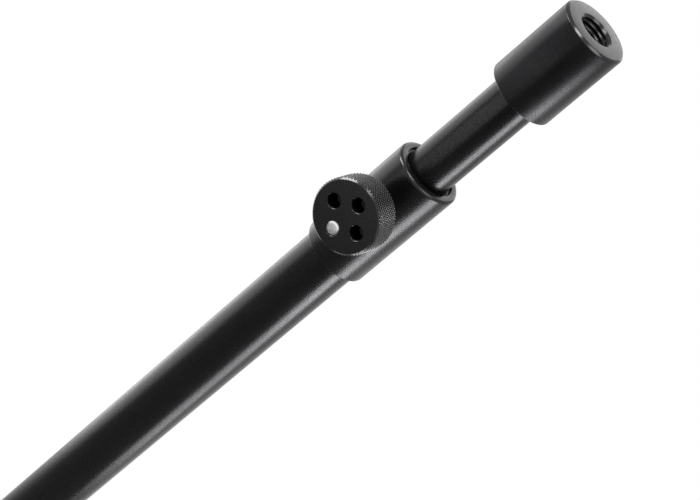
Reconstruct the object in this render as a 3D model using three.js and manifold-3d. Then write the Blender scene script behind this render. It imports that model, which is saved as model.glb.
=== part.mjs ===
// A telescopic bank stick: a tube that is screwed into the ground by its auger point, and a stem that
// slides and turns inside it, is held by a thumbscrew, and carries a threaded socket for a bite alarm.
// Millimetres. +Z runs up the stick, the origin is the very tip of the point, and the thumbscrew
// faces -Y. The stem is drawn out as far as in the photograph.
import * as THREE from 'three';
import { mergeVertices } from 'three/addons/utils/BufferGeometryUtils.js';
import Module from 'manifold-3d';

const wasm = await Module();
wasm.setup();

// Fits between pieces
const seatGap = 0.1; // between two faces that meet end to end
const bondClearance = 0.1; // round a piece that is glued or pressed into another
const slideClearance = 0.12; // round a piece that slides or turns in another
const overrun = 1; // how far a cutter runs past the face that it opens

// Outer tube
const tubeRadius = 8;
const tubeWall = 1;
const tubeLength = 214;
const tubeEdgeChamfer = 0.2;

// Auger point: a turned blank with a helical groove that widens and deepens towards the tip
const pointLength = 46;
const pointNoseRadius = 0.7;
const pointNoseHeight = 0.2;
const pointConeHeight = 5.9;
const pointConeInset = 0.9; // how far the cone's edge lies inside the tube's outside
const pointRoundHeight = 1.3; // of the broken edge above the cone
const pointRoundInset = 0.55;
const pointTaperHeight = 16.8; // from that edge up to the full width
const pointSpigotLength = 20;
const pointSpigotChamfer = 0.8;
const groovePitch = 8.5;
const groovePlainLength = 4; // between the groove's end and the tube
const grooveLowestHeight = 1; // of the cutter's middle at the tip
const grooveRadiusAtTube = 2.5;
const grooveLeastLand = 0.3; // left between two turns at the tip
const grooveDepthAtTube = 2.2;
const grooveDepthAtTip = 4.7;
const grooveRunOutLength = 10.5;
const grooveRunOutRise = 2.5; // how far the cutter is drawn out over that length

// Clamp collar, on the tube's upper end
const collarWall = 1.35; // round the tube
const collarSocketDepth = 15.4;
const collarTopRounding = 1; // radius of the mouth's outer edge
const collarBottomChamfer = 0.35;

// Plastic lining of the collar's mouth
const liningWall = 0.8;
const liningRecess = 0.8;
const liningAboveScrew = 0.98; // between the lining's seat and the screw's hole
const liningChamfer = 0.2;

// Stem
const stemToTube = 0.58; // space between the stem and the outer tube
const stemWall = 1.4;
const stemShown = 32.3; // bare stem between the collar and the head
const stemNeckDepth = 0.5; // how much the lower end is turned down for the guide bush

// Guide bush and plug, at the stem's lower end
const guideLength = 7.6;
const guideSplitWidth = 1;
const guideChamfer = 0.3;
const plugFlangeThickness = 2.4;
const plugFlangeInset = 0.3; // how far the flange stands back from the tube's bore
const plugSpigotLength = 10;
const plugSpigotChamfer = 0.6;
const plugHoleRadius = 1.6;
const plugAbovePoint = 38; // between the plug and the point's spigot

// Head with its 3/8 inch threaded socket
const headWall = 2.91; // round the stem
const headSocketDepth = 10;
const headWeb = 1.8; // between the stem's socket and the threaded one
const headTopChamfer = 0.65;
const headBottomChamfer = 0.3;
const alarmThreadMajorRadius = 4.76;
const alarmThreadMinorRadius = 4.12;
const alarmThreadPitch = 1.27;
const alarmThreadDepth = 12;
const alarmDrillRelief = 0.12; // how much smaller the drilled end is than the thread
const alarmDrillPointHeight = 1.2;
const alarmMouthRadius = 5;
const alarmMouthDepth = 0.5;

// Thumbscrew: its axis crosses the stick's
const screwBelowCollarTop = 13;
const screwAboveTube = 7.1; // from the shoulder that the tube's end meets
const studRadius = 3;
const studThreadDepth = 0.55;
const studPitch = 1;
const knobStandOff = 1.5; // between the collar and the knob's neck when tightened
const knobNeckRadius = 5;
const knobNeckLength = 5;
const knobNeckChamfer = 0.3;
const knobRadius = 9.7;
const knobThickness = 8.25;
const knobFaceChamfer = 0.6;
const knobBackChamfer = 0.25;
const knobHoleCount = 4;
const knobHoleCircleRadius = 4.8;
const knobHoleRadius = 1.92;
const knobHoleDepth = 5.5;
const knobHoleFloor = 0.75; // between a hole's end and the stud's
const markerClearance = 0.04; // round the pin, which is pressed in
const markerRecess = 0.15;
const markerDomeWidth = 0.75;
const markerDomeHeight = 0.35;
const padRadius = 1.5;
const padLength = 2.4;
const padShown = 0.6; // how far the pad stands out of the stud
const padToStem = 0.15;

// Facets
const roundSides = 48;
const threadSides = 20;
const roundingSteps = 3;
const grooveStepsPerTurn = 20;
const grooveSides = 12;

// Radii that follow, from the tube inwards and outwards
const tubeBoreRadius = tubeRadius - tubeWall;
const stemRadius = tubeBoreRadius - stemToTube;
const stemBoreRadius = stemRadius - stemWall;
const stemNeckRadius = stemRadius - stemNeckDepth;
const collarSocketRadius = tubeRadius + bondClearance;
const collarRadius = collarSocketRadius + collarWall;
const collarBoreRadius = stemRadius + slideClearance;
const liningRadius = collarBoreRadius + liningWall;
const headRadius = stemRadius + headWall;

// Lengths and places that follow
const pointTop = pointLength + pointSpigotLength;
const collarLength = collarSocketDepth + screwAboveTube + screwBelowCollarTop;
const screwHoleRadius = studRadius + slideClearance;
const liningSeatDepth = screwBelowCollarTop - screwHoleRadius - liningAboveScrew;
const liningLength = liningSeatDepth - liningRecess - seatGap;
const headLength = headSocketDepth + headWeb + alarmDrillPointHeight + alarmThreadDepth;
const stemNeckLength = guideLength + 2 * seatGap;
const tubeBottom = pointLength + seatGap;
const collarBottom = tubeBottom + tubeLength + seatGap - collarSocketDepth;
const collarTop = collarBottom + collarLength;
const headBottom = collarTop + stemShown;
const stemTop = headBottom + headSocketDepth - seatGap;
const stemBottom = pointTop + plugAbovePoint + plugFlangeThickness + seatGap;
const stemLength = stemTop - stemBottom;

// Distances from the stick's axis, outwards along the thumbscrew
const padFront = stemRadius + padToStem;
const studEnd = padFront + padShown;
const neckEnd = collarRadius + knobStandOff;
const knobLength = knobNeckLength + knobThickness;
const studInKnob = knobLength - knobHoleDepth - knobHoleFloor;

const blackAnodised = { color: 0x1b1b1c, roughness: 0.36, metalness: 0.75 };
const brightAluminium = { color: 0xc9cacc, roughness: 0.28, metalness: 1 };
const stainlessSteel = { color: 0xb4b5b6, roughness: 0.3, metalness: 1 };
const blackNylon = { color: 0x121212, roughness: 0.62, metalness: 0 };
const paleNylon = { color: 0xd8d5cc, roughness: 0.55, metalness: 0 };

// A closed three.js geometry as a manifold-3d solid.
function solidOf(geometry) {
  const bare = geometry.clone();
  bare.deleteAttribute('normal');
  bare.deleteAttribute('uv');
  const merged = mergeVertices(bare);
  const corners = Array.from(merged.index.array);
  const triangles = [];
  for (let start = 0; start < corners.length; start += 3) {
    const triangle = corners.slice(start, start + 3);
    if (new Set(triangle).size === 3) triangles.push(...triangle);
  }
  const vertProperties = new Float32Array(merged.attributes.position.array);
  const triVerts = new Uint32Array(triangles);
  return new wasm.Manifold(new wasm.Mesh({ numProp: 3, vertProperties, triVerts }));
}

// A manifold-3d solid as a flat-shaded three.js geometry.
function geometryOf(solid) {
  const { vertProperties, triVerts } = solid.getMesh();
  return indexedGeometry(vertProperties, triVerts).toNonIndexed();
}

function indexedGeometry(positions, triangles) {
  const geometry = new THREE.BufferGeometry();
  geometry.setAttribute('position', new THREE.BufferAttribute(new Float32Array(positions), 3));
  geometry.setIndex(new THREE.BufferAttribute(new Uint32Array(triangles), 1));
  return geometry;
}

// A profile of [radius, height] points, listed anticlockwise, turned about the Z axis. One that
// doesn't start on the axis is closed on itself, as a ring.
function turned(profile, sides = roundSides) {
  const outline = profile[0][0] === 0 ? profile : [...profile, profile[0]];
  const points = outline.map(([radius, height]) => new THREE.Vector2(radius, height));
  return new THREE.LatheGeometry(points, sides).rotateX(Math.PI / 2);
}

// The outside corner of a profile, rounded off by a quarter circle that ends on the top face.
function roundedCorner(radius, top, rounding) {
  const points = [];
  for (let step = 0; step <= roundingSteps; step++) {
    const turn = (Math.PI * step) / (2 * roundingSteps);
    const inset = rounding * (1 - Math.cos(turn));
    const drop = rounding * (1 - Math.sin(turn));
    points.push([radius - inset, top - drop]);
  }
  return points;
}

// A plain round bar from one height to another.
function bar(radius, bottom, top, sides = roundSides) {
  return turned([[0, bottom], [radius, bottom], [radius, top], [0, top]], sides);
}

// A ring that stands on height zero, with its outer edges broken.
function sleeve(innerRadius, outerRadius, length, chamfer) {
  return turned([
    [innerRadius, 0],
    [outerRadius - chamfer, 0],
    [outerRadius, chamfer],
    [outerRadius, length - chamfer],
    [outerRadius - chamfer, length],
    [innerRadius, length],
  ]);
}

// Joins rings of points with the same number in each, which run anticlockwise as seen from beyond
// the last ring, and closes the first and last ring on a middle point.
function skinOver(rings, firstMiddle, lastMiddle) {
  const sides = rings[0].length;
  const positions = [...rings.flat(), firstMiddle, lastMiddle].flat();
  const first = rings.length * sides;
  const last = first + 1;
  const lastRing = first - sides;
  const triangles = [];
  for (let side = 0; side < sides; side++) {
    const next = (side + 1) % sides;
    triangles.push(first, next, side);
    triangles.push(last, lastRing + side, lastRing + next);
    for (let here = 0; here < lastRing; here += sides) {
      const above = here + sides;
      triangles.push(here + side, here + next, above + next);
      triangles.push(here + side, above + next, above + side);
    }
  }
  return indexedGeometry(positions, triangles);
}

// A rod with a right-hand V thread, trimmed square at both heights. Its root and its crest are two
// helical lines, so a flank takes two triangles a step.
function threadedRod(majorRadius, minorRadius, pitch, bottom, top) {
  const start = bottom - 2 * pitch;
  const turns = Math.ceil((top - start) / pitch) + 2;
  const lastStep = turns * threadSides;
  const lastPair = lastStep - threadSides;
  const positions = [];
  for (let step = 0; step <= lastStep; step++) {
    const angle = (2 * Math.PI * step) / threadSides;
    const height = start + (pitch * step) / threadSides;
    positions.push(minorRadius * Math.cos(angle), minorRadius * Math.sin(angle), height);
    positions.push(majorRadius * Math.cos(angle), majorRadius * Math.sin(angle), height + pitch / 2);
  }
  positions.push(0, 0, start, 0, 0, start + pitch * turns);
  const root = (step) => 2 * step;
  const crest = (step) => 2 * step + 1;
  const lowMiddle = 2 * (lastStep + 1);
  const highMiddle = lowMiddle + 1;
  const triangles = [];
  for (let step = 0; step < lastStep; step++) {
    triangles.push(root(step), root(step + 1), crest(step + 1));
    triangles.push(root(step), crest(step + 1), crest(step));
  }
  for (let step = 0; step < lastPair; step++) {
    const above = step + threadSides;
    triangles.push(crest(step), crest(step + 1), root(above + 1));
    triangles.push(crest(step), root(above + 1), root(above));
  }
  for (let step = 0; step < threadSides; step++) {
    triangles.push(lowMiddle, root(step + 1), root(step));
    triangles.push(highMiddle, crest(lastPair + step), crest(lastPair + step + 1));
  }
  triangles.push(lowMiddle, crest(0), root(threadSides));
  triangles.push(lowMiddle, root(0), crest(0));
  triangles.push(highMiddle, crest(lastStep), root(lastStep));
  triangles.push(highMiddle, root(lastStep), crest(lastPair));
  const trim = bar(majorRadius + overrun, bottom, top);
  return solidOf(indexedGeometry(positions, triangles)).intersect(solidOf(trim));
}

// The path of the round-nosed cutter that makes the auger's groove, as a solid.
function grooveCutter() {
  const highest = pointLength - groovePlainLength;
  const radiusAtTip = (groovePitch - grooveLeastLand) / 2;
  const steps = Math.ceil((grooveStepsPerTurn * (highest - grooveLowestHeight)) / groovePitch);
  const middle = (step) => {
    const height = THREE.MathUtils.lerp(grooveLowestHeight, highest, step / steps);
    const towardsTip = ((highest - height) / (highest - grooveLowestHeight)) ** 2;
    const size = THREE.MathUtils.lerp(grooveRadiusAtTube, radiusAtTip, towardsTip);
    const depth = THREE.MathUtils.lerp(grooveDepthAtTube, grooveDepthAtTip, towardsTip);
    const runOut = Math.max(0, 1 - (highest - height) / grooveRunOutLength);
    const distance = tubeRadius - depth + size + grooveRunOutRise * runOut;
    return { angle: (2 * Math.PI * height) / groovePitch, height, size, distance };
  };
  const point = ({ angle, height, size, distance }, turn) => {
    const out = distance + size * Math.cos(turn);
    return [out * Math.cos(angle), out * Math.sin(angle), height - size * Math.sin(turn)];
  };
  const rings = [];
  for (let step = 0; step <= steps; step++) {
    const ring = [];
    for (let side = 0; side < grooveSides; side++) {
      ring.push(point(middle(step), (2 * Math.PI * side) / grooveSides));
    }
    rings.push(ring);
  }
  const ends = [middle(0), middle(steps)].map((end) => point({ ...end, size: 0 }, 0));
  return solidOf(skinOver(rings, ...ends));
}

function augerPoint() {
  const spigotRadius = tubeBoreRadius - bondClearance;
  const blank = turned([
    [0, 0],
    [pointNoseRadius, pointNoseHeight],
    [tubeRadius - pointConeInset, pointConeHeight],
    [tubeRadius - pointRoundInset, pointConeHeight + pointRoundHeight],
    [tubeRadius, pointConeHeight + pointRoundHeight + pointTaperHeight],
    [tubeRadius, pointLength],
    [spigotRadius, pointLength],
    [spigotRadius, pointTop - pointSpigotChamfer],
    [spigotRadius - pointSpigotChamfer, pointTop],
    [0, pointTop],
  ]);
  return geometryOf(solidOf(blank).subtract(grooveCutter()));
}

function outerTube() {
  return sleeve(tubeBoreRadius, tubeRadius, tubeLength, tubeEdgeChamfer);
}

function clampCollar() {
  const liningSeatRadius = liningRadius + bondClearance;
  const liningSeatBottom = collarLength - liningSeatDepth;
  const body = turned([
    [collarSocketRadius, 0],
    [collarRadius - collarBottomChamfer, 0],
    [collarRadius, collarBottomChamfer],
    ...roundedCorner(collarRadius, collarLength, collarTopRounding),
    [liningSeatRadius, collarLength],
    [liningSeatRadius, liningSeatBottom],
    [collarBoreRadius, liningSeatBottom],
    [collarBoreRadius, collarSocketDepth],
    [collarSocketRadius, collarSocketDepth],
  ]);
  const screwHole = bar(screwHoleRadius, 0, collarRadius + overrun, threadSides);
  screwHole.rotateX(Math.PI / 2).translate(0, 0, collarLength - screwBelowCollarTop);
  return geometryOf(solidOf(body).subtract(solidOf(screwHole)));
}

function collarLining() {
  return sleeve(collarBoreRadius, liningRadius, liningLength, liningChamfer);
}

function stemTube() {
  return turned([
    [stemBoreRadius, 0],
    [stemNeckRadius, 0],
    [stemNeckRadius, stemNeckLength],
    [stemRadius, stemNeckLength],
    [stemRadius, stemLength],
    [stemBoreRadius, stemLength],
  ]);
}

function guideBush() {
  const outerRadius = tubeBoreRadius - slideClearance;
  const ring = sleeve(stemNeckRadius + slideClearance, outerRadius, guideLength, guideChamfer);
  const split = new THREE.BoxGeometry(outerRadius + overrun, guideSplitWidth, guideLength + 2 * overrun);
  split.translate((outerRadius + overrun) / 2, 0, guideLength / 2);
  return geometryOf(solidOf(ring).subtract(solidOf(split)));
}

function stemPlug() {
  const flangeRadius = tubeBoreRadius - plugFlangeInset;
  const spigotRadius = stemBoreRadius - bondClearance;
  const spigotTop = plugFlangeThickness + plugSpigotLength;
  return turned([
    [plugHoleRadius, 0],
    [flangeRadius, 0],
    [flangeRadius, plugFlangeThickness],
    [spigotRadius, plugFlangeThickness],
    [spigotRadius, spigotTop - plugSpigotChamfer],
    [spigotRadius - plugSpigotChamfer, spigotTop],
    [plugHoleRadius, spigotTop],
  ]);
}

function headSocket() {
  const threadBottom = headLength - alarmThreadDepth;
  const drillRadius = alarmThreadMinorRadius - alarmDrillRelief;
  const body = turned([
    [0, 0],
    [headRadius - headBottomChamfer, 0],
    [headRadius, headBottomChamfer],
    [headRadius, headLength - headTopChamfer],
    [headRadius - headTopChamfer, headLength],
    [0, headLength],
  ]);
  const stemSocket = bar(stemRadius + bondClearance, -overrun, headSocketDepth);
  const drilledEnd = turned([
    [0, threadBottom - alarmDrillPointHeight],
    [drillRadius, threadBottom],
    [drillRadius, headLength],
    [0, headLength],
  ]);
  const mouth = turned([
    [0, headLength - alarmMouthDepth],
    [alarmThreadMinorRadius, headLength - alarmMouthDepth],
    [alarmMouthRadius, headLength],
    [alarmMouthRadius, headLength + overrun],
    [0, headLength + overrun],
  ]);
  const thread = threadedRod(
    alarmThreadMajorRadius,
    alarmThreadMinorRadius,
    alarmThreadPitch,
    threadBottom,
    headLength + overrun,
  );
  const cutters = [solidOf(stemSocket), solidOf(drilledEnd), solidOf(mouth), thread];
  return geometryOf(cutters.reduce((left, cutter) => left.subtract(cutter), solidOf(body)));
}

function clampKnob() {
  const body = turned([
    [0, 0],
    [knobNeckRadius - knobNeckChamfer, 0],
    [knobNeckRadius, knobNeckChamfer],
    [knobNeckRadius, knobNeckLength],
    [knobRadius - knobBackChamfer, knobNeckLength],
    [knobRadius, knobNeckLength + knobBackChamfer],
    [knobRadius, knobLength - knobFaceChamfer],
    [knobRadius - knobFaceChamfer, knobLength],
    [0, knobLength],
  ]);
  let knob = solidOf(body);
  knob = knob.subtract(solidOf(bar(studRadius + bondClearance, -overrun, studInKnob, threadSides)));
  for (let hole = 0; hole < knobHoleCount; hole++) {
    const angle = (2 * Math.PI * hole) / knobHoleCount;
    const cutter = bar(knobHoleRadius, knobLength - knobHoleDepth, knobLength + overrun, threadSides);
    cutter.translate(0, knobHoleCircleRadius, 0).rotateZ(angle);
    knob = knob.subtract(solidOf(cutter));
  }
  return geometryOf(knob);
}

function clampScrew() {
  const length = neckEnd + studInKnob - seatGap - studEnd;
  const stud = threadedRod(studRadius, studRadius - studThreadDepth, studPitch, 0, length);
  const padHoleDepth = padLength - padShown + seatGap;
  const padHole = bar(padRadius + slideClearance, -overrun, padHoleDepth, threadSides);
  return geometryOf(stud.subtract(solidOf(padHole)));
}

function markerPin() {
  const radius = knobHoleRadius - markerClearance;
  const length = knobHoleDepth - seatGap - markerRecess;
  return turned([
    [0, 0],
    [radius, 0],
    [radius, length - markerDomeHeight],
    [radius - markerDomeWidth, length],
    [0, length],
  ], threadSides);
}

function mesh(name, geometry, finish, height) {
  const flat = geometry.index ? geometry.toNonIndexed() : geometry;
  flat.computeVertexNormals();
  const made = new THREE.Mesh(flat, new THREE.MeshStandardMaterial(finish));
  made.name = name;
  made.position.z = height;
  return made;
}

const ground = new THREE.Group();
ground.add(
  mesh('drill_point', augerPoint(), brightAluminium, 0),
  mesh('outer_tube', outerTube(), blackAnodised, tubeBottom),
  mesh('clamp_collar', clampCollar(), blackAnodised, collarBottom),
  mesh('collar_lining', collarLining(), blackNylon, collarTop - liningRecess - liningLength),
);

// The stem and what is on it, measured from its lower end
const stem = new THREE.Group();
stem.position.z = stemBottom;
stem.add(
  mesh('head_socket', headSocket(), blackAnodised, headBottom - stemBottom),
  mesh('stem_tube', stemTube(), blackAnodised, 0),
  mesh('guide_bush', guideBush(), blackNylon, seatGap),
  mesh('stem_plug', stemPlug(), blackNylon, -seatGap - plugFlangeThickness),
);

// The thumbscrew, measured outwards from the stick's axis
const thumbscrew = new THREE.Group();
thumbscrew.position.z = collarTop - screwBelowCollarTop;
thumbscrew.rotation.x = Math.PI / 2;
const marker = mesh('marker_pin', markerPin(), stainlessSteel, neckEnd + knobLength - knobHoleDepth + seatGap);
marker.position.y = -knobHoleCircleRadius;
thumbscrew.add(
  mesh('clamp_pad', bar(padRadius, 0, padLength, threadSides), paleNylon, padFront),
  mesh('clamp_screw', clampScrew(), stainlessSteel, studEnd),
  mesh('clamp_knob', clampKnob(), blackAnodised, neckEnd),
  marker,
);

const bankStick = new THREE.Group();
bankStick.add(ground, stem, thumbscrew);

export default bankStick;
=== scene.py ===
import math

import bpy
from mathutils import Matrix, Vector


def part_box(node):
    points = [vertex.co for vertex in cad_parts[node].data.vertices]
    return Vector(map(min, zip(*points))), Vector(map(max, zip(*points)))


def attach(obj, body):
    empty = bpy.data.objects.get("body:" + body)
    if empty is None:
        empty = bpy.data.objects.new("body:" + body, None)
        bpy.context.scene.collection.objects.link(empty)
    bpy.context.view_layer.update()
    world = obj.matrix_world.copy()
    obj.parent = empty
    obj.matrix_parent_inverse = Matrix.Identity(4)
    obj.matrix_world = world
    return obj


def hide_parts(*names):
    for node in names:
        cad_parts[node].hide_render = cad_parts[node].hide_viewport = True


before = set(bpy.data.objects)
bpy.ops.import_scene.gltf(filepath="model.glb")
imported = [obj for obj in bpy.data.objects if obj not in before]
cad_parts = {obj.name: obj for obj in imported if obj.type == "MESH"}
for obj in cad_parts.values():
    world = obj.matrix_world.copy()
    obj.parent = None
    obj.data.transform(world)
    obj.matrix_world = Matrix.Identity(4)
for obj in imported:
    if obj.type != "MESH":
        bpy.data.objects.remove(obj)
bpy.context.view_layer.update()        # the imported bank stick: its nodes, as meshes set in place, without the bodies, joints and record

MM = 0.001
HALF_TURN = math.pi
FULL_TURN = 2 * math.pi
RIGHT_ANGLE = math.pi / 2

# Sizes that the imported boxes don't give
TUBE_WALL = 1.0 * MM
TUBE_EDGE = 0.2 * MM

POINT_LENGTH = 46 * MM  # of the auger, without the spigot in the tube
POINT_SPIGOT_RADIUS = 6.9 * MM
POINT_SPIGOT_EDGE = 0.8 * MM
POINT_NOSE_RADIUS = 0.7 * MM
POINT_NOSE_HEIGHT = 0.2 * MM
POINT_CONE_HEIGHT = 5.9 * MM
POINT_CONE_INSET = 0.9 * MM
POINT_ROUND_HEIGHT = 1.3 * MM
POINT_ROUND_INSET = 0.55 * MM
POINT_TAPER_HEIGHT = 16.8 * MM
GROOVE_PITCH = 8.5 * MM
GROOVE_LOWEST = 1 * MM
GROOVE_HIGHEST = 42 * MM
GROOVE_RADIUS_AT_TUBE = 2.5 * MM
GROOVE_RADIUS_AT_TIP = 4.1 * MM
GROOVE_DEPTH_AT_TUBE = 2.2 * MM
GROOVE_DEPTH_AT_TIP = 4.7 * MM
GROOVE_RUN_OUT = 10.5 * MM
GROOVE_RUN_OUT_RISE = 2.5 * MM
GROOVE_STEPS_PER_TURN = 48
GROOVE_ROUNDNESS = 6  # steps in a quarter of the cutter's nose

COLLAR_SOCKET_RADIUS = 8.1 * MM
COLLAR_SOCKET_DEPTH = 15.4 * MM
COLLAR_BORE_RADIUS = 6.54 * MM
COLLAR_TOP_ROUNDING = 1 * MM
COLLAR_BOTTOM_EDGE = 0.35 * MM
LINING_SEAT_RADIUS = 7.44 * MM
LINING_SEAT_DEPTH = 8.9 * MM
LINING_EDGE = 0.3 * MM
SCREW_HOLE_RADIUS = 3.12 * MM

STEM_WALL = 1.4 * MM
STEM_NECK_INSET = 0.5 * MM
STEM_NECK_LENGTH = 7.8 * MM
BUSH_BORE_RADIUS = 6.04 * MM
BUSH_EDGE = 0.3 * MM
BUSH_SPLIT = 1.0 * MM
PLUG_FLANGE = 2.4 * MM
PLUG_FLANGE_EDGE = 0.3 * MM
PLUG_SPIGOT_RADIUS = 4.92 * MM
PLUG_SPIGOT_EDGE = 0.6 * MM
PLUG_HOLE_RADIUS = 1.6 * MM

HEAD_TOP_EDGE = 0.65 * MM
HEAD_BOTTOM_EDGE = 0.3 * MM
HEAD_SOCKET_RADIUS = 6.52 * MM
HEAD_SOCKET_DEPTH = 10 * MM
ALARM_THREAD_RADIUS = 4.76 * MM  # 3/8 inch, 20 threads to the inch
ALARM_CREST_RADIUS = 4.32 * MM
ALARM_PITCH = 1.27 * MM
ALARM_THREAD_DEPTH = 12 * MM
ALARM_DRILL_RADIUS = 4.25 * MM
ALARM_DRILL_CONE = 1.2 * MM
ALARM_MOUTH_RADIUS = 4.95 * MM
ALARM_MOUTH_DEPTH = 0.55 * MM

KNOB_NECK_RADIUS = 5 * MM
KNOB_NECK_LENGTH = 5 * MM
KNOB_NECK_EDGE = 0.3 * MM
KNOB_FACE_EDGE = 0.6 * MM
KNOB_BACK_EDGE = 0.25 * MM
KNURL_AROUND = 68  # diamonds round the knob, drawn 0.9 mm wide because 0.6 mm is too fine to show
KNURL_ALONG = 8  # and along it
KNURL_DEPTH = 0.30 * MM
KNOB_HOLES = 4
KNOB_HOLE_CIRCLE = 4.8 * MM
KNOB_HOLE_RADIUS = 1.92 * MM
KNOB_HOLE_DEPTH = 5.5 * MM
KNOB_HOLE_EDGE = 0.12 * MM
KNOB_DRILL_CONE = 0.6 * MM
KNOB_BORE_RADIUS = 3.1 * MM
KNOB_BORE_DEPTH = 7 * MM
STUD_THREAD_DEPTH = 0.55 * MM
STUD_PITCH = 1.0 * MM
STUD_PAD_HOLE_RADIUS = 1.62 * MM
STUD_PAD_HOLE_DEPTH = 1.9 * MM
PAD_EDGE = 0.25 * MM
PIN_DOME_WIDTH = 0.7 * MM
PIN_DOME_HEIGHT = 0.25 * MM
PIN_DOME_STEPS = 6

THREAD_FLAT_SHARE = 1 / 8  # of the pitch, on crest and root
BROKEN_EDGE = 0.1 * MM  # of the auger, the head and the pad
COLLAR_BROKEN_EDGE = 0.08 * MM  # and of the plug
BUSH_BROKEN_EDGE = 0.06 * MM  # and of the collar's lining
SHARP_ANGLE = 30  # degrees, above which an edge is broken, and stays an edge when faces are smoothed
KNURL_SHARP_ANGLE = 25

OVERRUN = 1 * MM  # how far a cutter runs past the face that it opens
SAME_POINT = 0.001 * MM
SIDES = 128
ROUNDING_STEPS = 8
THREAD_SIDES = 64

# The camera, as solved from the photograph's outlines
CAMERA_PLACE = Vector((88.26, -424.01, 509.39)) * MM
CAMERA_RIGHT = Vector((0.5540, 0.5152, 0.6540))
CAMERA_UP = Vector((-0.8149, 0.1746, 0.5527))
CAMERA_BACK = Vector((0.1706, -0.8391, 0.5165))
CAMERA_LENS = 101.88
CAMERA_FRAME = 36  # mm wide
CAMERA_NEAR = 0.01
CAMERA_FAR = 50


def photo_camera():
    bpy.ops.object.camera_add()
    camera = bpy.context.object
    camera.name = "photo_camera"
    turned_to = Matrix((CAMERA_RIGHT, CAMERA_UP, CAMERA_BACK)).transposed()
    camera.matrix_world = Matrix.Translation(CAMERA_PLACE) @ turned_to.to_4x4()
    camera.data.sensor_fit = "HORIZONTAL"
    camera.data.sensor_width = CAMERA_FRAME
    camera.data.lens = CAMERA_LENS
    camera.data.clip_start = CAMERA_NEAR
    camera.data.clip_end = CAMERA_FAR
    bpy.context.scene.camera = camera


# Modelling


def start_clean():
    if bpy.context.object and bpy.context.object.mode != "OBJECT":
        bpy.ops.object.mode_set(mode="OBJECT")
    bpy.ops.object.select_all(action="DESELECT")


def edit_whole():
    bpy.ops.object.mode_set(mode="EDIT")
    bpy.ops.mesh.select_mode(type="VERT")
    bpy.ops.mesh.select_all(action="SELECT")


def close_seams():
    """Merges points that meet, and turns the faces of a closed mesh outwards."""
    bpy.ops.mesh.select_mode(type="VERT")
    bpy.ops.mesh.select_all(action="SELECT")
    bpy.ops.mesh.remove_doubles(threshold=SAME_POINT)
    bpy.ops.mesh.normals_make_consistent(inside=False)
    bpy.ops.object.mode_set(mode="OBJECT")


def turned(name, outline, sides=SIDES):
    """Turns an outline of (radius, height) points round Z, ring by ring, as on a lathe. An outline that
    starts on the axis starts with a flat end, and one that doesn't is closed on itself as a tube."""
    start_clean()
    solid = outline[0][0] == 0
    rings = outline[1:] if solid else [*outline, outline[0]]
    radius, height = rings[0]
    bpy.ops.mesh.primitive_circle_add(
        vertices=sides, radius=radius, fill_type="NGON" if solid else "NOTHING", location=(0, 0, height)
    )
    piece = bpy.context.object
    piece.name = name
    bpy.ops.object.mode_set(mode="EDIT")
    bpy.ops.mesh.select_mode(type="EDGE")
    for next_radius, next_height in rings[1:]:
        bpy.ops.mesh.extrude_edges_move(TRANSFORM_OT_translate={"value": (0, 0, next_height - height)})
        if next_radius == 0:
            bpy.ops.mesh.merge(type="CENTER")
            break
        size = next_radius / radius
        bpy.ops.transform.resize(value=(size, size, 1), center_override=(0, 0, next_height))
        radius, height = next_radius, next_height
    close_seams()
    place_in_mesh(piece)
    return piece


def rounded_corner(radius, top, rounding):
    """The outside corner of an outline, rounded off by a quarter circle that ends on the top face."""
    points = []
    for step in range(ROUNDING_STEPS + 1):
        bow = RIGHT_ANGLE * step / ROUNDING_STEPS
        points.append((radius - rounding * (1 - math.cos(bow)), top - rounding * (1 - math.sin(bow))))
    return points


def place_in_mesh(piece):
    bpy.ops.object.select_all(action="DESELECT")
    piece.select_set(True)
    bpy.context.view_layer.objects.active = piece
    bpy.ops.object.transform_apply(location=True, rotation=True, scale=True)


def apply_modifier(piece, kind, **settings):
    bpy.context.view_layer.objects.active = piece
    bpy.ops.object.modifier_add(type=kind)
    modifier = piece.modifiers[-1]
    for setting, value in settings.items():
        setattr(modifier, setting, value)
    bpy.ops.object.modifier_apply(modifier=modifier.name)


def cut(piece, *cutters):
    """Cuts each cutter's shape out of the piece, and puts the cutter away."""
    for cutter in cutters:
        apply_modifier(piece, "BOOLEAN", operation="DIFFERENCE", solver="EXACT", object=cutter)
        bpy.data.objects.remove(cutter)
    bpy.context.view_layer.objects.active = piece


def break_edges(piece, width):
    """Rounds every sharp edge by a small radius, as a deburred part has."""
    apply_modifier(
        piece, "BEVEL", width=width, segments=2, limit_method="ANGLE", angle_limit=math.radians(SHARP_ANGLE)
    )


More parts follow.
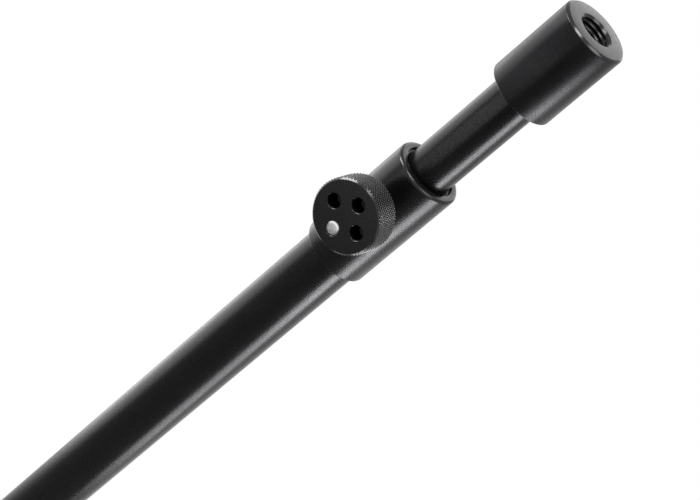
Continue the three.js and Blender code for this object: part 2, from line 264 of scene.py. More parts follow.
def threaded_rod(name, crest_radius, root_radius, pitch, foot, top):
    """A right-hand thread with narrow flats on crest and root. The trim leaves both its ends ragged, by up to
    0.1 mm, and not closed, and the stud's faces come out turned inwards."""
    start_clean()
    flat = pitch * THREAD_FLAT_SHARE
    first = foot - 2 * pitch
    turns = math.ceil((top - first) / pitch) + 2
    bpy.ops.mesh.primitive_circle_add(
        vertices=4, radius=1, fill_type="NOTHING", rotation=(RIGHT_ANGLE, 0, 0)
    )
    rod = bpy.context.object
    rod.name = name
    rod.scale = (crest_radius - root_radius, pitch / 2 - flat, 1)
    rod.location = (root_radius, 0, first)
    place_in_mesh(rod)
    bpy.ops.object.mode_set(mode="EDIT")
    bpy.ops.mesh.select_mode(type="VERT")
    keep_selected(rod, lambda point: point.x < root_radius - SAME_POINT)
    bpy.ops.mesh.delete(type="VERT")
    for side in (1, -1):
        keep_selected(rod, lambda point: (point.z - first) * side > pitch / 4)
        bpy.ops.mesh.extrude_vertices_move(TRANSFORM_OT_translate={"value": (0, 0, side * flat)})
    bpy.ops.object.mode_set(mode="OBJECT")
    apply_modifier(
        rod, "SCREW", angle=FULL_TURN, screw_offset=pitch, iterations=turns, steps=THREAD_SIDES,
        render_steps=THREAD_SIDES, use_merge_vertices=True, merge_threshold=SAME_POINT,
    )
    edit_whole()
    bpy.ops.mesh.remove_doubles(threshold=SAME_POINT)
    for height, up in ((foot, -1), (top, 1)):
        bpy.ops.mesh.select_all(action="SELECT")
        bpy.ops.mesh.bisect(
            plane_co=(0, 0, height), plane_no=(0, 0, up), clear_outer=True, use_fill=True
        )
    close_seams()
    return rod


def keep_selected(piece, wanted):
    """Selects the points of the mesh in edit mode whose place passes a test, and no others."""
    bpy.ops.mesh.select_all(action="DESELECT")
    bpy.ops.object.mode_set(mode="OBJECT")
    for vertex in piece.data.vertices:
        vertex.select = wanted(vertex.co)
    bpy.ops.object.mode_set(mode="EDIT")


def standing(node):
    """Radius, foot and top of a node round the stick's axis."""
    low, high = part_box(node)
    return -low.y, low.z, high.z


def lying(node):
    """Radius of a node on the thumbscrew, and where it starts and ends outwards from the stick's axis."""
    low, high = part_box(node)
    return high.x, -high.y, -low.y


def lay_out(piece):
    """Lays a piece that was turned round Z along the thumbscrew, outwards along -Y."""
    low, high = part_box("clamp_knob")
    piece.rotation_euler = (RIGHT_ANGLE, 0, 0)
    piece.location = (0, 0, (low.z + high.z) / 2)
    place_in_mesh(piece)


def hand_over(piece, node, body, finish, edge_angle=SHARP_ANGLE):
    """Smooths a finished piece between its edges, gives it its finish and sets it in the frame."""
    start_clean()
    piece.select_set(True)
    bpy.context.view_layer.objects.active = piece
    bpy.ops.object.shade_smooth_by_angle(angle=math.radians(edge_angle))
    piece.data.materials.clear()
    piece.data.materials.append(finish)
    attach(piece, body)
    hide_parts(node)


# The pieces


def auger():
    radius, tip, top = standing("drill_point")
    cone_top = POINT_CONE_HEIGHT + POINT_ROUND_HEIGHT
    point = turned("auger", [
        (0, top),
        (POINT_SPIGOT_RADIUS - POINT_SPIGOT_EDGE, top),
        (POINT_SPIGOT_RADIUS, top - POINT_SPIGOT_EDGE),
        (POINT_SPIGOT_RADIUS, POINT_LENGTH),
        (radius, POINT_LENGTH),
        (radius, cone_top + POINT_TAPER_HEIGHT),
        (radius - POINT_ROUND_INSET, cone_top),
        (radius - POINT_CONE_INSET, POINT_CONE_HEIGHT),
        (POINT_NOSE_RADIUS, POINT_NOSE_HEIGHT),
        (0, tip),
    ])
    break_edges(point, BROKEN_EDGE)
    cut(point, auger_cutter(radius))
    return point


def auger_cutter(radius):
    """The path of the round-nosed cutter that mills the helical groove, wider and deeper to the tip."""
    span = GROOVE_HIGHEST - GROOVE_LOWEST
    steps = math.ceil(GROOVE_STEPS_PER_TURN * span / GROOVE_PITCH)
    path = bpy.data.curves.new("auger_cutter", "CURVE")
    path.dimensions = "3D"
    path.bevel_depth = 1
    path.bevel_resolution = GROOVE_ROUNDNESS
    path.use_fill_caps = True
    line = path.splines.new("POLY")
    line.points.add(steps)
    for step, place in enumerate(line.points):
        height = GROOVE_LOWEST + span * step / steps
        to_tip = ((GROOVE_HIGHEST - height) / span) ** 2
        size = GROOVE_RADIUS_AT_TUBE + (GROOVE_RADIUS_AT_TIP - GROOVE_RADIUS_AT_TUBE) * to_tip
        depth = GROOVE_DEPTH_AT_TUBE + (GROOVE_DEPTH_AT_TIP - GROOVE_DEPTH_AT_TUBE) * to_tip
        run_out = max(0, 1 - (GROOVE_HIGHEST - height) / GROOVE_RUN_OUT)
        distance = radius - depth + size + GROOVE_RUN_OUT_RISE * run_out
        angle = FULL_TURN * height / GROOVE_PITCH
        place.co = (distance * math.cos(angle), distance * math.sin(angle), height, 1)
        place.radius = size
    cutter = bpy.data.objects.new("auger_cutter", path)
    bpy.context.scene.collection.objects.link(cutter)
    start_clean()
    cutter.select_set(True)
    bpy.context.view_layer.objects.active = cutter
    bpy.ops.object.convert(target="MESH")
    edit_whole()
    close_seams()
    return cutter


def ground_tube():
    radius, foot, top = standing("outer_tube")
    return turned("ground_tube", [
        (radius - TUBE_WALL, foot),
        (radius - TUBE_EDGE, foot),
        (radius, foot + TUBE_EDGE),
        (radius, top - TUBE_EDGE),
        (radius - TUBE_EDGE, top),
        (radius - TUBE_WALL, top),
    ])


def collar():
    radius, foot, top = standing("clamp_collar")
    shoulder = foot + COLLAR_SOCKET_DEPTH
    lining_seat = top - LINING_SEAT_DEPTH
    sleeve = turned("collar", [
        (COLLAR_SOCKET_RADIUS, foot),
        (radius - COLLAR_BOTTOM_EDGE, foot),
        (radius, foot + COLLAR_BOTTOM_EDGE),
        *rounded_corner(radius, top, COLLAR_TOP_ROUNDING),
        (LINING_SEAT_RADIUS, top),
        (LINING_SEAT_RADIUS, lining_seat),
        (COLLAR_BORE_RADIUS, lining_seat),
        (COLLAR_BORE_RADIUS, shoulder),
        (COLLAR_SOCKET_RADIUS, shoulder),
    ])
    break_edges(sleeve, COLLAR_BROKEN_EDGE)
    hole = turned("screw_hole", [
        (0, 0),
        (SCREW_HOLE_RADIUS, 0),
        (SCREW_HOLE_RADIUS, radius - 2 * COLLAR_BOTTOM_EDGE),
        (SCREW_HOLE_RADIUS + OVERRUN, radius + OVERRUN - 2 * COLLAR_BOTTOM_EDGE),
        (0, radius + OVERRUN - 2 * COLLAR_BOTTOM_EDGE),
    ])
    lay_out(hole)
    cut(sleeve, hole)
    return sleeve


def lining():
    radius, foot, top = standing("collar_lining")
    ring = turned("collar_bush", [
        (COLLAR_BORE_RADIUS, foot),
        (radius - LINING_EDGE, foot),
        (radius, foot + LINING_EDGE),
        (radius, top),
        (COLLAR_BORE_RADIUS + LINING_EDGE, top),
        (COLLAR_BORE_RADIUS, top - LINING_EDGE),
    ])
    break_edges(ring, BUSH_BROKEN_EDGE)
    return ring


def stem():
    radius, foot, top = standing("stem_tube")
    bore = radius - STEM_WALL
    neck = radius - STEM_NECK_INSET
    return turned("stem", [
        (bore, foot),
        (neck - TUBE_EDGE, foot),
        (neck, foot + TUBE_EDGE),
        (neck, foot + STEM_NECK_LENGTH),
        (radius - TUBE_EDGE, foot + STEM_NECK_LENGTH),
        (radius, foot + STEM_NECK_LENGTH + TUBE_EDGE),
        (radius, top - TUBE_EDGE),
        (radius - TUBE_EDGE, top),
        (bore, top),
    ])


def bush():
    radius, foot, top = standing("guide_bush")
    ring = turned("split_bush", [
        (BUSH_BORE_RADIUS, foot),
        (radius - BUSH_EDGE, foot),
        (radius, foot + BUSH_EDGE),
        (radius, top - BUSH_EDGE),
        (radius - BUSH_EDGE, top),
        (BUSH_BORE_RADIUS, top),
    ])
    start_clean()
    bpy.ops.mesh.primitive_cube_add(size=1, location=(radius, 0, (foot + top) / 2))
    split = bpy.context.object
    split.scale = (radius, BUSH_SPLIT, top - foot + 2 * OVERRUN)
    place_in_mesh(split)
    cut(ring, split)
    break_edges(ring, BUSH_BROKEN_EDGE)
    return ring


def plug():
    radius, foot, top = standing("stem_plug")
    shoulder = foot + PLUG_FLANGE
    body = turned("end_plug", [
        (PLUG_HOLE_RADIUS, foot),
        (radius - PLUG_FLANGE_EDGE, foot),
        (radius, foot + PLUG_FLANGE_EDGE),
        (radius, shoulder),
        (PLUG_SPIGOT_RADIUS, shoulder),
        (PLUG_SPIGOT_RADIUS, top - PLUG_SPIGOT_EDGE),
        (PLUG_SPIGOT_RADIUS - PLUG_SPIGOT_EDGE, top),
        (PLUG_HOLE_RADIUS, top),
    ])
    break_edges(body, COLLAR_BROKEN_EDGE)
    return body


def head():
    radius, foot, top = standing("head_socket")
    thread_foot = top - ALARM_THREAD_DEPTH
    block = turned("head", [
        (0, foot),
        (radius - HEAD_BOTTOM_EDGE, foot),
        (radius, foot + HEAD_BOTTOM_EDGE),
        (radius, top - HEAD_TOP_EDGE),
        (radius - HEAD_TOP_EDGE, top),
        (0, top),
    ])
    break_edges(block, BROKEN_EDGE)
    stem_socket = turned("stem_socket", [
        (0, foot - OVERRUN),
        (HEAD_SOCKET_RADIUS, foot - OVERRUN),
        (HEAD_SOCKET_RADIUS, foot + HEAD_SOCKET_DEPTH),
        (0, foot + HEAD_SOCKET_DEPTH),
    ])
    drilled = turned("alarm_drilling", [
        (0, top + OVERRUN),
        (ALARM_DRILL_RADIUS, top + OVERRUN),
        (ALARM_DRILL_RADIUS, thread_foot),
        (0, thread_foot - ALARM_DRILL_CONE),
    ])
    mouth = turned("alarm_mouth", [
        (0, top - ALARM_MOUTH_DEPTH),
        (ALARM_CREST_RADIUS, top - ALARM_MOUTH_DEPTH),
        (ALARM_MOUTH_RADIUS, top),
        (ALARM_MOUTH_RADIUS, top + OVERRUN),
        (0, top + OVERRUN),
    ])
    thread = threaded_rod(
        "alarm_thread", ALARM_THREAD_RADIUS, ALARM_CREST_RADIUS, ALARM_PITCH, thread_foot, top + OVERRUN
    )
    cut(block, stem_socket, drilled, thread, mouth)
    return block


def knob():
    """The knurl is rolled over the whole edge of the disc, and the face's slanted edge is cut after it, so
    that the diamonds end in teeth along it."""
    radius, back, face = lying("clamp_knob")
    disc_back = back + KNOB_NECK_LENGTH
    knurl_foot = disc_back + KNOB_BACK_EDGE
    rows = 2 * KNURL_ALONG
    row = (face - knurl_foot) / (rows - 1)
    body = turned("knob", [
        (0, back),
        (KNOB_NECK_RADIUS - KNOB_NECK_EDGE, back),
        (KNOB_NECK_RADIUS, back + KNOB_NECK_EDGE),
        (KNOB_NECK_RADIUS, disc_back),
        (radius - KNOB_BACK_EDGE - KNURL_DEPTH, disc_back),
        *[(radius - KNURL_DEPTH, knurl_foot + row * step) for step in range(rows + 1)],
        (0, face + row),
    ], sides=2 * KNURL_AROUND)
    raise_knurl(body, radius, knurl_foot, row)
    past_face = turned("past_face", [
        (0, face),
        (radius - KNOB_FACE_EDGE, face),
        (radius + OVERRUN, face - KNOB_FACE_EDGE - OVERRUN),
        (radius + OVERRUN, face + OVERRUN),
        (0, face + OVERRUN),
    ], sides=2 * KNURL_AROUND)
    bore = turned("knob_bore", [
        (0, back - OVERRUN),
        (KNOB_BORE_RADIUS, back - OVERRUN),
        (KNOB_BORE_RADIUS, back + KNOB_BORE_DEPTH),
        (0, back + KNOB_BORE_DEPTH),
    ])
    cut(body, past_face, bore, *[knob_hole(number, face) for number in range(KNOB_HOLES)])
    lay_out(body)
    return body


def raise_knurl(body, radius, foot, row):
    """Raises every other point of the knob's edge in turn, so that its faces become diamonds."""
    edit_whole()

    def is_peak(point):
        step = round((point.z - foot) / row)
        column = round(math.atan2(point.x, point.y) / (HALF_TURN / KNURL_AROUND))
        on_edge = math.hypot(point.x, point.y) > radius - 2 * KNURL_DEPTH
        on_row = step > 0 and abs(point.z - foot - step * row) < row / 8
        return on_edge and on_row and (step + column) % 2 == 0

    keep_selected(body, is_peak)
    size = radius / (radius - KNURL_DEPTH)
    bpy.ops.transform.resize(value=(size, size, 1), center_override=(0, 0, 0))
    keep_selected(body, lambda point: math.hypot(point.x, point.y) > radius - 2 * KNURL_DEPTH)
    bpy.ops.mesh.select_mode(type="FACE")
    bpy.ops.mesh.quads_convert_to_tris(quad_method="SHORTEST_DIAGONAL")
    bpy.ops.object.mode_set(mode="OBJECT")


def knob_hole(number, face):
    """A drilled hole with a broken edge. The one that holds the marker pin has a flat end."""
    cone = 0 if number == KNOB_HOLES // 2 else KNOB_DRILL_CONE
    end = face - KNOB_HOLE_DEPTH
    hole = turned("knob_hole", [
        (0, face + OVERRUN),
        (KNOB_HOLE_RADIUS + KNOB_HOLE_EDGE + OVERRUN, face + OVERRUN),
        (KNOB_HOLE_RADIUS, face - KNOB_HOLE_EDGE),
        (KNOB_HOLE_RADIUS, end + cone),
        (0, end),
    ], sides=THREAD_SIDES)
    hole.location = (0, KNOB_HOLE_CIRCLE, 0)
    place_in_mesh(hole)
    hole.rotation_euler = (0, 0, FULL_TURN * number / KNOB_HOLES)
    place_in_mesh(hole)
    return hole


def stud():
    radius, inner, outer = lying("clamp_screw")
    rod = threaded_rod("stud", radius, radius - STUD_THREAD_DEPTH, STUD_PITCH, inner, outer)
    hole = turned("pad_hole", [
        (0, inner - OVERRUN),
        (STUD_PAD_HOLE_RADIUS, inner - OVERRUN),
        (STUD_PAD_HOLE_RADIUS, inner + STUD_PAD_HOLE_DEPTH),
        (0, inner + STUD_PAD_HOLE_DEPTH),
    ], sides=THREAD_SIDES)
    cut(rod, hole)
    lay_out(rod)
    return rod


def pad():
    radius, inner, outer = lying("clamp_pad")
    tip = turned("pad", [
        (0, outer),
        (radius - PAD_EDGE, outer),
        (radius, outer - PAD_EDGE),
        (radius, inner + PAD_EDGE),
        (radius - PAD_EDGE, inner),
        (0, inner),
    ], sides=THREAD_SIDES)
    break_edges(tip, BROKEN_EDGE)
    lay_out(tip)
    return tip


def marker():
    radius, inner, outer = lying("marker_pin")
    low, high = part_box("marker_pin")
    knob_low, knob_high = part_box("clamp_knob")
    dome = []
    for step in range(PIN_DOME_STEPS + 1):
        bow = RIGHT_ANGLE * step / PIN_DOME_STEPS
        dome.append((
            radius - PIN_DOME_WIDTH * (1 - math.cos(bow)),
            outer - PIN_DOME_HEIGHT * (1 - math.sin(bow)),
        ))
    pin = turned("pin", [(0, inner), (radius, inner), *dome, (0, outer)], sides=THREAD_SIDES)
    pin.location.y = (low.z + high.z - knob_low.z - knob_high.z) / 2
    place_in_mesh(pin)
    lay_out(pin)
    return pin


# The finishes

MARK_BLUR = 0.06 * MM  # half the width over which each place of wear, dirt and painted light fades
GRIT_WIDTH = 0.35 * MM  # about 0.1 mm is real, and too fine to show
GRIT_GLOSS = 0.13  # how much smoother the crests of the grit are than its floor
TUBE_GRIT = 0.03 * MM  # heights of the grit
HEAD_GRIT = 0.02 * MM
KNOB_GRIT = 0.010 * MM
FILM_CLOUD = 9 * MM  # width of the clouds in the black film
TURNING_PITCH = 0.3 * MM  # of the lathe's lines on the black pieces
TURNING_DEPTH = 0.003 * MM
BARE_CLOUD = 4 * MM
BARE_TURNING_PITCH = 0.25 * MM
BARE_TURNING_DEPTH = 0.002 * MM
LAND_FROM = 6.9 * MM  # distances from the axis between which the auger's groove turns into its land
LAND_TO = 7.6 * MM
MILLED_WIDTH = 0.8 * MM
MILLED_DEPTH = 0.09 * MM
STEEL_CLOUD = 0.7 * MM
STEEL_DEPTH = 0.004 * MM
NYLON_CLOUD = 2 * MM
NYLON_SKIN = 0.25 * MM
NYLON_DEPTH = 0.01 * MM
NOISE_LOW = 0.3  # a noise texture mostly lies between these two values
NOISE_HIGH = 0.7


def from_hex(colour):
    """An sRGB hex colour as the linear colour that Blender takes."""
    parts = [int(colour[place:place + 2], 16) / 255 for place in (1, 3, 5)]
    return [part / 12.92 if part <= 0.04045 else ((part + 0.055) / 1.055) ** 2.4 for part in parts] + [1]


def add_node(tree, kind, settings=None, **inputs):
    """Adds a node with its settings. An input named i0, i1 is taken by its place, others by their name,
    and each is a value or the socket that feeds it."""
    node = tree.nodes.new(kind)
    for setting, value in (settings or {}).items():
        setattr(node, setting, value)
    for name, value in inputs.items():
        place = int(name[1:]) if name[0] == "i" and name[1:].isdigit() else name.replace("_", " ")
        if isinstance(value, bpy.types.NodeSocket):
            tree.links.new(value, node.inputs[place])
        else:
            node.inputs[place].default_value = value
    return node


def maths(tree, operation, *values, **settings):
    inputs = {f"i{place}": value for place, value in enumerate(values)}
    return add_node(tree, "ShaderNodeMath", {"operation": operation, **settings}, **inputs).outputs[0]


def mix_colours(tree, share, first, second):
    return add_node(tree, "ShaderNodeMix", {"data_type": "RGBA"}, i0=share, i6=first, i7=second).outputs[2]


def mix_values(tree, share, first, second):
    return add_node(tree, "ShaderNodeMix", {"data_type": "FLOAT"}, i0=share, i2=first, i3=second).outputs[0]


def noise(tree, place, width, detail):
    return add_node(tree, "ShaderNodeTexNoise", Vector=place, Scale=1 / width, Detail=detail).outputs["Fac"]


def spread(tree, pattern, low, high):
    """A noise pattern stretched over a range of values."""
    return add_node(
        tree, "ShaderNodeMapRange", Value=pattern,
        From_Min=NOISE_LOW, From_Max=NOISE_HIGH, To_Min=low, To_Max=high,
    ).outputs[0]


def soft_step(tree, value, start, end, low=0.0, high=1.0):
    return add_node(
        tree, "ShaderNodeMapRange", {"interpolation_type": "SMOOTHSTEP"},
        Value=value, From_Min=start, From_Max=end, To_Min=low, To_Max=high,
    ).outputs[0]


def beyond(tree, value, limit, after=1.0):
    """A soft step at a limit, up to 1 after it or down to 0."""
    return soft_step(tree, value, limit - MARK_BLUR, limit + MARK_BLUR, 1.0 - after, after)


def bumped(tree, height, depth, strength=1.0, **under):
    return add_node(
        tree, "ShaderNodeBump", Strength=strength, Distance=depth, Height=height, **under
    ).outputs[0]


def lathe_lines(tree, along, pitch):
    return maths(tree, "SINE", maths(tree, "MULTIPLY", along, FULL_TURN / pitch))


def new_finish(name, **sockets):
    """A material with its shader, and the Object coordinates that its patterns read."""
    finish = bpy.data.materials.new(name)
    finish.use_nodes = True
    tree = finish.node_tree
    shader = tree.nodes["Principled BSDF"]
    for socket, value in sockets.items():
        shader.inputs[socket.replace("_", " ")].default_value = value
    place = add_node(tree, "ShaderNodeTexCoord").outputs["Object"]
    return finish, tree, shader, place


def feed(tree, shader, colour, gloss, normal):
    tree.links.new(colour, shader.inputs["Base Color"])
    tree.links.new(gloss, shader.inputs["Roughness"])
    tree.links.new(normal, shader.inputs["Normal"])


def round_axis(tree, place, on_screw=False):
    """How far a point lies from the axis that its piece was turned on, and how far along it."""
    if on_screw:
        low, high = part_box("clamp_knob")
        middle = (low.z + high.z) / 2
        place = add_node(
            tree, "ShaderNodeMapping", Vector=place, Location=(0, -middle, 0), Rotation=(-RIGHT_ANGLE, 0, 0)
        ).outputs[0]
    across = add_node(tree, "ShaderNodeVectorMath", {"operation": "MULTIPLY"}, i0=place, i1=(1, 1, 0))
    reach = add_node(tree, "ShaderNodeVectorMath", {"operation": "LENGTH"}, i0=across.outputs[0])
    along = add_node(tree, "ShaderNodeSeparateXYZ", Vector=place)
    return reach.outputs["Value"], along.outputs["Z"]


def black_anodised(
    name, dark, light, smooth, rough, grit_height, turning_pitch=0, on_screw=False, wear_and_painted_places=()
):
    """Black dyed anodic film on aluminium: nearly black straight on, pale at grazing angles, with a satin
    gloss. The blasting before the dye bath leaves a fine even grit, with paler and smoother crests, that
    breaks the highlight up. Each place of wear and painted light is a range of distances from the axis, a
    range of heights, a
    colour and a roughness: edges cut after the blasting are smoother, and hands wear the film thin; a darker
    colour paints shade into hollows, and a paler one paints a glint on crests."""
    finish, tree, shader, place = new_finish(name, Metallic=0.75, Specular_Tint=(0.88, 0.88, 0.88, 1))
    gloss = spread(tree, noise(tree, place, FILM_CLOUD, 3.0), smooth, rough)
    grit = noise(tree, place, GRIT_WIDTH, 1.0)
    crests = spread(tree, grit, 0.0, 1.0)
    gloss = maths(tree, "MULTIPLY_ADD", crests, -GRIT_GLOSS, gloss)
    colour = mix_colours(tree, crests, from_hex(dark), from_hex(light))
    reach, height = round_axis(tree, place, on_screw)
    gritty = 1.0
    # Each place lays a colour and roughness over the film: wear on edges, and on the knurl dirt with painted
    # shade, and crests with a painted glint
    for nearest, furthest, lowest, highest, wear_and_painted_colour, wear_and_painted_gloss in wear_and_painted_places:
        wear_and_painted_mask = beyond(tree, reach, nearest)
        for value, limit, after in ((reach, furthest, 0.0), (height, lowest, 1.0), (height, highest, 0.0)):
            wear_and_painted_mask = maths(tree, "MULTIPLY", wear_and_painted_mask, beyond(tree, value, limit, after))
        colour = mix_colours(tree, wear_and_painted_mask, colour, from_hex(wear_and_painted_colour))
        gloss = mix_values(tree, wear_and_painted_mask, gloss, wear_and_painted_gloss)
        gritty = maths(tree, "SUBTRACT", gritty, wear_and_painted_mask, use_clamp=True)
    normal = bumped(tree, grit, grit_height, gritty)
    if turning_pitch:
        lines = lathe_lines(tree, maths(tree, "ADD", reach, height), turning_pitch)
        normal = bumped(tree, lines, TURNING_DEPTH, Normal=normal)
    feed(tree, shader, colour, gloss, normal)
    return finish


def bright_aluminium():
    """Bare 6000-series aluminium as it leaves the machines: satin turned lands, and a groove that the
    round-nosed cutter left brighter, with its ripple in the bottom."""
    finish, tree, shader, place = new_finish("bare_machined_aluminium", Metallic=1.0)
    reach, height = round_axis(tree, place)
    land = add_node(
        tree, "ShaderNodeMapRange", Value=reach, From_Min=LAND_FROM, From_Max=LAND_TO, To_Min=0.0, To_Max=1.0
    ).outputs[0]
    cloud = noise(tree, place, BARE_CLOUD, 3.0)
    colour = mix_colours(tree, cloud, from_hex("#7e7f81"), from_hex("#929395"))
    marks = noise(tree, place, MILLED_WIDTH, 2.0)
    gloss = mix_values(tree, land, spread(tree, marks, 0.14, 0.26), 0.36)
    turning = maths(tree, "MULTIPLY", lathe_lines(tree, height, BARE_TURNING_PITCH), land)
    turned_land = bumped(tree, turning, BARE_TURNING_DEPTH)
    in_groove = maths(tree, "SUBTRACT", 1.0, land)
    normal = bumped(tree, marks, MILLED_DEPTH, in_groove, Normal=turned_land)
    feed(tree, shader, colour, gloss, normal)
    return finish


def steel(name, dark, light, smooth, rough):
    """Stainless steel: a cooler silver than aluminium, with fine handling marks."""
    finish, tree, shader, place = new_finish(name, Metallic=1.0)
    cloud = noise(tree, place, STEEL_CLOUD, 3.0)
    colour = mix_colours(tree, cloud, from_hex(dark), from_hex(light))
    gloss = spread(tree, cloud, smooth, rough)
    feed(tree, shader, colour, gloss, bumped(tree, cloud, STEEL_DEPTH))
    return finish


def nylon(name, dark, light):
    """Moulded or turned nylon: a soft sheen over a slightly pebbled skin."""
    finish, tree, shader, place = new_finish(name, IOR=1.53)
    cloud = noise(tree, place, NYLON_CLOUD, 3.0)
    colour = mix_colours(tree, cloud, from_hex(dark), from_hex(light))
    gloss = spread(tree, cloud, 0.45, 0.6)
    skin = noise(tree, place, NYLON_SKIN, 2.0)
    feed(tree, shader, colour, gloss, bumped(tree, skin, NYLON_DEPTH))
    return finish


# The studio

AMBIENT = 0.12  # of the white surroundings, for the light that falls on things
BEHIND = (-0.3, 0.954, 0)  # from the stick's foot to the floor that the photograph's view takes in
FLOOR_SIZE = 8
SHADOW_FROM = 0.01  # distances from the foot between which the floor turns white to the camera
SHADOW_TO = 0.08
SHADOW_WHITE = 0.5  # how white it is already at the foot
MIRRORED_FROM = -0.05  # distances behind the foot between which metal mirrors the floor as white
MIRRORED_TO = 0.06

# Each lamp's name, its place, what it is aimed at, the direction that its height runs along, its width and
# height, and its brightness where white paper is 1
LAMPS = (
    ("strip_right_top", (0.1485, -0.004, 0.283), (0, 0, 0.30), (-0.0015, -0.004, 0.132), 0.066, 0.042, 6),
    ("strip_right_high", (0.149, -0.002, 0.195), (0, 0, 0.21), (-0.0015, 0.012, 0.132), 0.068, 0.134, 14),
    ("strip_right_low", (0.149, 0.010, 0.078), (0, 0, 0.11), (0.002, -0.0235, 0.095), 0.076, 0.098, 6.8),
    ("panel_left", (-0.175, 0.035, 0.152), (0, 0, 0.19), (0, 0, 1), 0.26, 0.30, 1.5),
    ("card_front_left", (-0.118, -0.265, 0.185), (0, 0, 0.29), (0, 0, 1), 0.34, 0.11, 1.6),
    ("panel_front_top", (-0.256, -0.351, 1.18), (0, 0, 0.30), (0, 1, 0), 0.32, 0.32, 17),
    ("panel_top_right", (0.48, -0.16, 1.10), (0, 0, 0.30), (0, 1, 0), 0.46, 0.46, 5),
    ("strip_key_left", (-0.651, -0.192, 0.473), (0, -0.02, 0.277), (0.2, -0.23, 0.52), 0.17, 0.44, 21),
    ("panel_behind", (-0.130, 0.62, 0.62), (0, 0, 0.30), (0, 0, 1), 0.70, 0.60, 1.9),
)


def seen_directly(tree):
    """1 for what the camera sees, straight or in metal or glass, and 0 for the light that falls on things."""
    path = add_node(tree, "ShaderNodeLightPath").outputs
    either = maths(tree, "MAXIMUM", path["Is Camera Ray"], path["Is Glossy Ray"])
    return maths(tree, "MAXIMUM", either, path["Is Transmission Ray"])


def studio_floor():
    """A pale floor. The camera sees it white away from the stick's foot, and at the foot with the stick's
    shadow. Metal mirrors it white behind the stick, and lit like any floor in front."""
    start_clean()
    bpy.ops.mesh.primitive_plane_add(size=FLOOR_SIZE)
    floor = bpy.context.object
    floor.name = "studio_floor"
    paper = bpy.data.materials.new("matt_white_paper")
    paper.use_nodes = True
    tree = paper.node_tree
    shader = tree.nodes["Principled BSDF"]
    shader.inputs["Base Color"].default_value = from_hex("#848484")
    shader.inputs["Roughness"].default_value = 0.9
    shader.inputs["Specular IOR Level"].default_value = 0.0
    place = add_node(tree, "ShaderNodeTexCoord").outputs["Object"]
    path = add_node(tree, "ShaderNodeLightPath")
    from_foot = add_node(tree, "ShaderNodeVectorMath", {"operation": "LENGTH"}, i0=place).outputs["Value"]
    bare = soft_step(tree, from_foot, SHADOW_FROM, SHADOW_TO, SHADOW_WHITE)
    seen = maths(tree, "MULTIPLY", bare, path.outputs["Is Camera Ray"])
    behind = add_node(tree, "ShaderNodeVectorMath", {"operation": "DOT_PRODUCT"}, i0=place, i1=BEHIND)
    far = soft_step(tree, behind.outputs["Value"], MIRRORED_FROM, MIRRORED_TO)
    mirrored = maths(tree, "MULTIPLY", far, seen_directly(tree))
    white = maths(tree, "MAXIMUM", seen, mirrored)
    glow = add_node(tree, "ShaderNodeEmission", Color=(1, 1, 1, 1), Strength=1.0)
    mixed = add_node(tree, "ShaderNodeMixShader", i0=white, i1=shader.outputs[0], i2=glow.outputs[0])
    tree.links.new(mixed.outputs[0], tree.nodes["Material Output"].inputs["Surface"])
    floor.data.materials.append(paper)


def studio_world():
    world = bpy.data.worlds.new("studio")
    bpy.context.scene.world = world
    world.use_nodes = True
    tree = world.node_tree
    strength = add_node(
        tree, "ShaderNodeMapRange", Value=seen_directly(tree),
        From_Min=0.0, From_Max=1.0, To_Min=AMBIENT, To_Max=1.0,
    )
    tree.nodes["Background"].inputs["Color"].default_value = (1, 1, 1, 1)
    tree.links.new(strength.outputs[0], tree.nodes["Background"].inputs["Strength"])


def softbox(name, place, aim, along, width, height, brightness):
    """A flat lamp whose height runs along a direction. It is of one brightness all over, and as bright as
    white paper where that is 1."""
    start_clean()
    back = (Vector(place) - Vector(aim)).normalized()
    side = Vector(along).cross(back).normalized()
    facing = Matrix((side, back.cross(side), back)).transposed()
    bpy.ops.object.light_add(type="AREA", location=place, rotation=facing.to_euler())
    lamp = bpy.context.object
    lamp.name = name
    lamp.data.shape = "RECTANGLE"
    lamp.data.size = width
    lamp.data.size_y = height
    lamp.data.energy = brightness * HALF_TURN * width * height
    lamp.visible_camera = False


photo_camera()
studio_world()
studio_floor()
for lamp in LAMPS:
    softbox(*lamp)

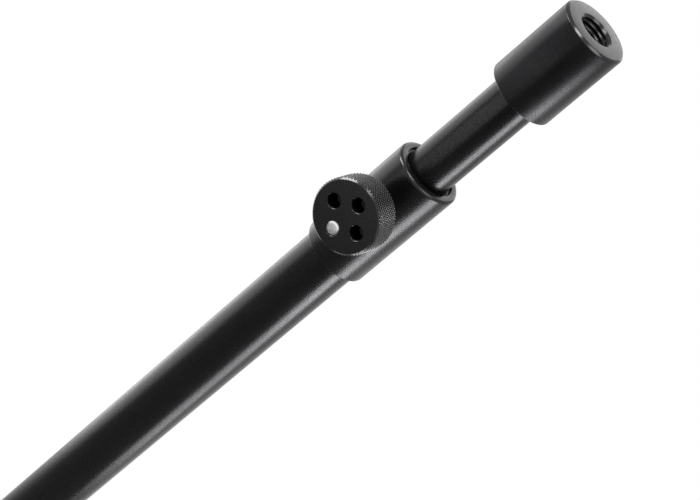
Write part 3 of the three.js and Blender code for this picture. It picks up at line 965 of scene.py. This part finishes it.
knob_radius, knob_back, knob_face = lying("clamp_knob")
head_radius, head_foot, head_top = standing("head_socket")
collar_radius, _, collar_top = standing("clamp_collar")
knob_wear_and_painted_light = (
    # The knurl as a whole, darker with dirt and painted shade in its hollows, the face's slanted edge, and
    # the crests of the knurl, paler with wear and a painted glint
    (
        knob_radius - KNURL_DEPTH - MARK_BLUR, knob_radius + OVERRUN,
        knob_back, knob_face - KNOB_FACE_EDGE, "#101010", 0.36,
    ),
    (
        knob_radius - KNOB_FACE_EDGE + MARK_BLUR, knob_radius + OVERRUN,
        knob_face - KNOB_FACE_EDGE, knob_face + OVERRUN, "#303030", 0.18,
    ),
    # The crests: paler with wear, and with a painted glint
    (knob_radius - KNURL_DEPTH / 4, knob_radius + OVERRUN, knob_back, knob_face, "#808081", 0.20),
)
head_rubbed = (
    # The upper edge, the foot's edge, the mouth of the thread, and the thread
    (
        head_radius - HEAD_TOP_EDGE + MARK_BLUR, head_radius + OVERRUN,
        head_top - HEAD_TOP_EDGE, head_top + OVERRUN, "#303030", 0.18,
    ),
    (
        head_radius - HEAD_BOTTOM_EDGE, head_radius + OVERRUN,
        head_foot - OVERRUN, head_foot + HEAD_BOTTOM_EDGE, "#303030", 0.18,
    ),
    (0, ALARM_MOUTH_RADIUS - MARK_BLUR, head_top - ALARM_MOUTH_DEPTH, head_top + OVERRUN, "#303030", 0.20),
    (0, ALARM_MOUTH_RADIUS, head_top - ALARM_THREAD_DEPTH, head_top - ALARM_MOUTH_DEPTH, "#202020", 0.26),
)
collar_rubbed = (
    # The rounded mouth
    (
        collar_radius - COLLAR_TOP_ROUNDING + MARK_BLUR, collar_radius + OVERRUN,
        collar_top - COLLAR_TOP_ROUNDING, collar_top + OVERRUN, "#282828", 0.22,
    ),
)
tube_finish = black_anodised("black_anodised_drawn_tube", "#1d1d1e", "#272729", 0.30, 0.35, TUBE_GRIT)
collar_finish = black_anodised(
    "black_anodised_collar", "#1d1d1e", "#272729", 0.30, 0.35, TUBE_GRIT, TURNING_PITCH, wear_and_painted_places=collar_rubbed
)
head_finish = black_anodised(
    "black_anodised_head", "#18181a", "#1e1e20", 0.36, 0.41, HEAD_GRIT, TURNING_PITCH, wear_and_painted_places=head_rubbed
)
knurled_finish = black_anodised(
    "black_anodised_knurled", "#1b1b1b", "#242424", 0.34, 0.40, KNOB_GRIT, on_screw=True, wear_and_painted_places=knob_wear_and_painted_light
)
aluminium = bright_aluminium()
stainless = steel("stainless_rolled_thread", "#a4a5a6", "#b6b7b8", 0.22, 0.34)
polished = steel("stainless_polished_end", "#c2c2c2", "#d0d0d0", 0.20, 0.28)
black_nylon = nylon("black_moulded_nylon", "#161616", "#1e1e1e")
pale_nylon = nylon("pale_turned_nylon", "#d4d0c4", "#e0dcd2")

hand_over(auger(), "drill_point", "ground_section", aluminium)
hand_over(ground_tube(), "outer_tube", "ground_section", tube_finish)
hand_over(collar(), "clamp_collar", "ground_section", collar_finish)
hand_over(lining(), "collar_lining", "ground_section", black_nylon)
hand_over(stem(), "stem_tube", "stem", tube_finish)
hand_over(head(), "head_socket", "stem", head_finish)
hand_over(bush(), "guide_bush", "guide", black_nylon)
hand_over(plug(), "stem_plug", "stem", black_nylon)
hand_over(knob(), "clamp_knob", "thumbscrew", knurled_finish, KNURL_SHARP_ANGLE)
hand_over(stud(), "clamp_screw", "thumbscrew", stainless)
hand_over(pad(), "clamp_pad", "pad", pale_nylon)
hand_over(marker(), "marker_pin", "thumbscrew", polished)

bpy.context.scene.view_settings.view_transform = "Standard"
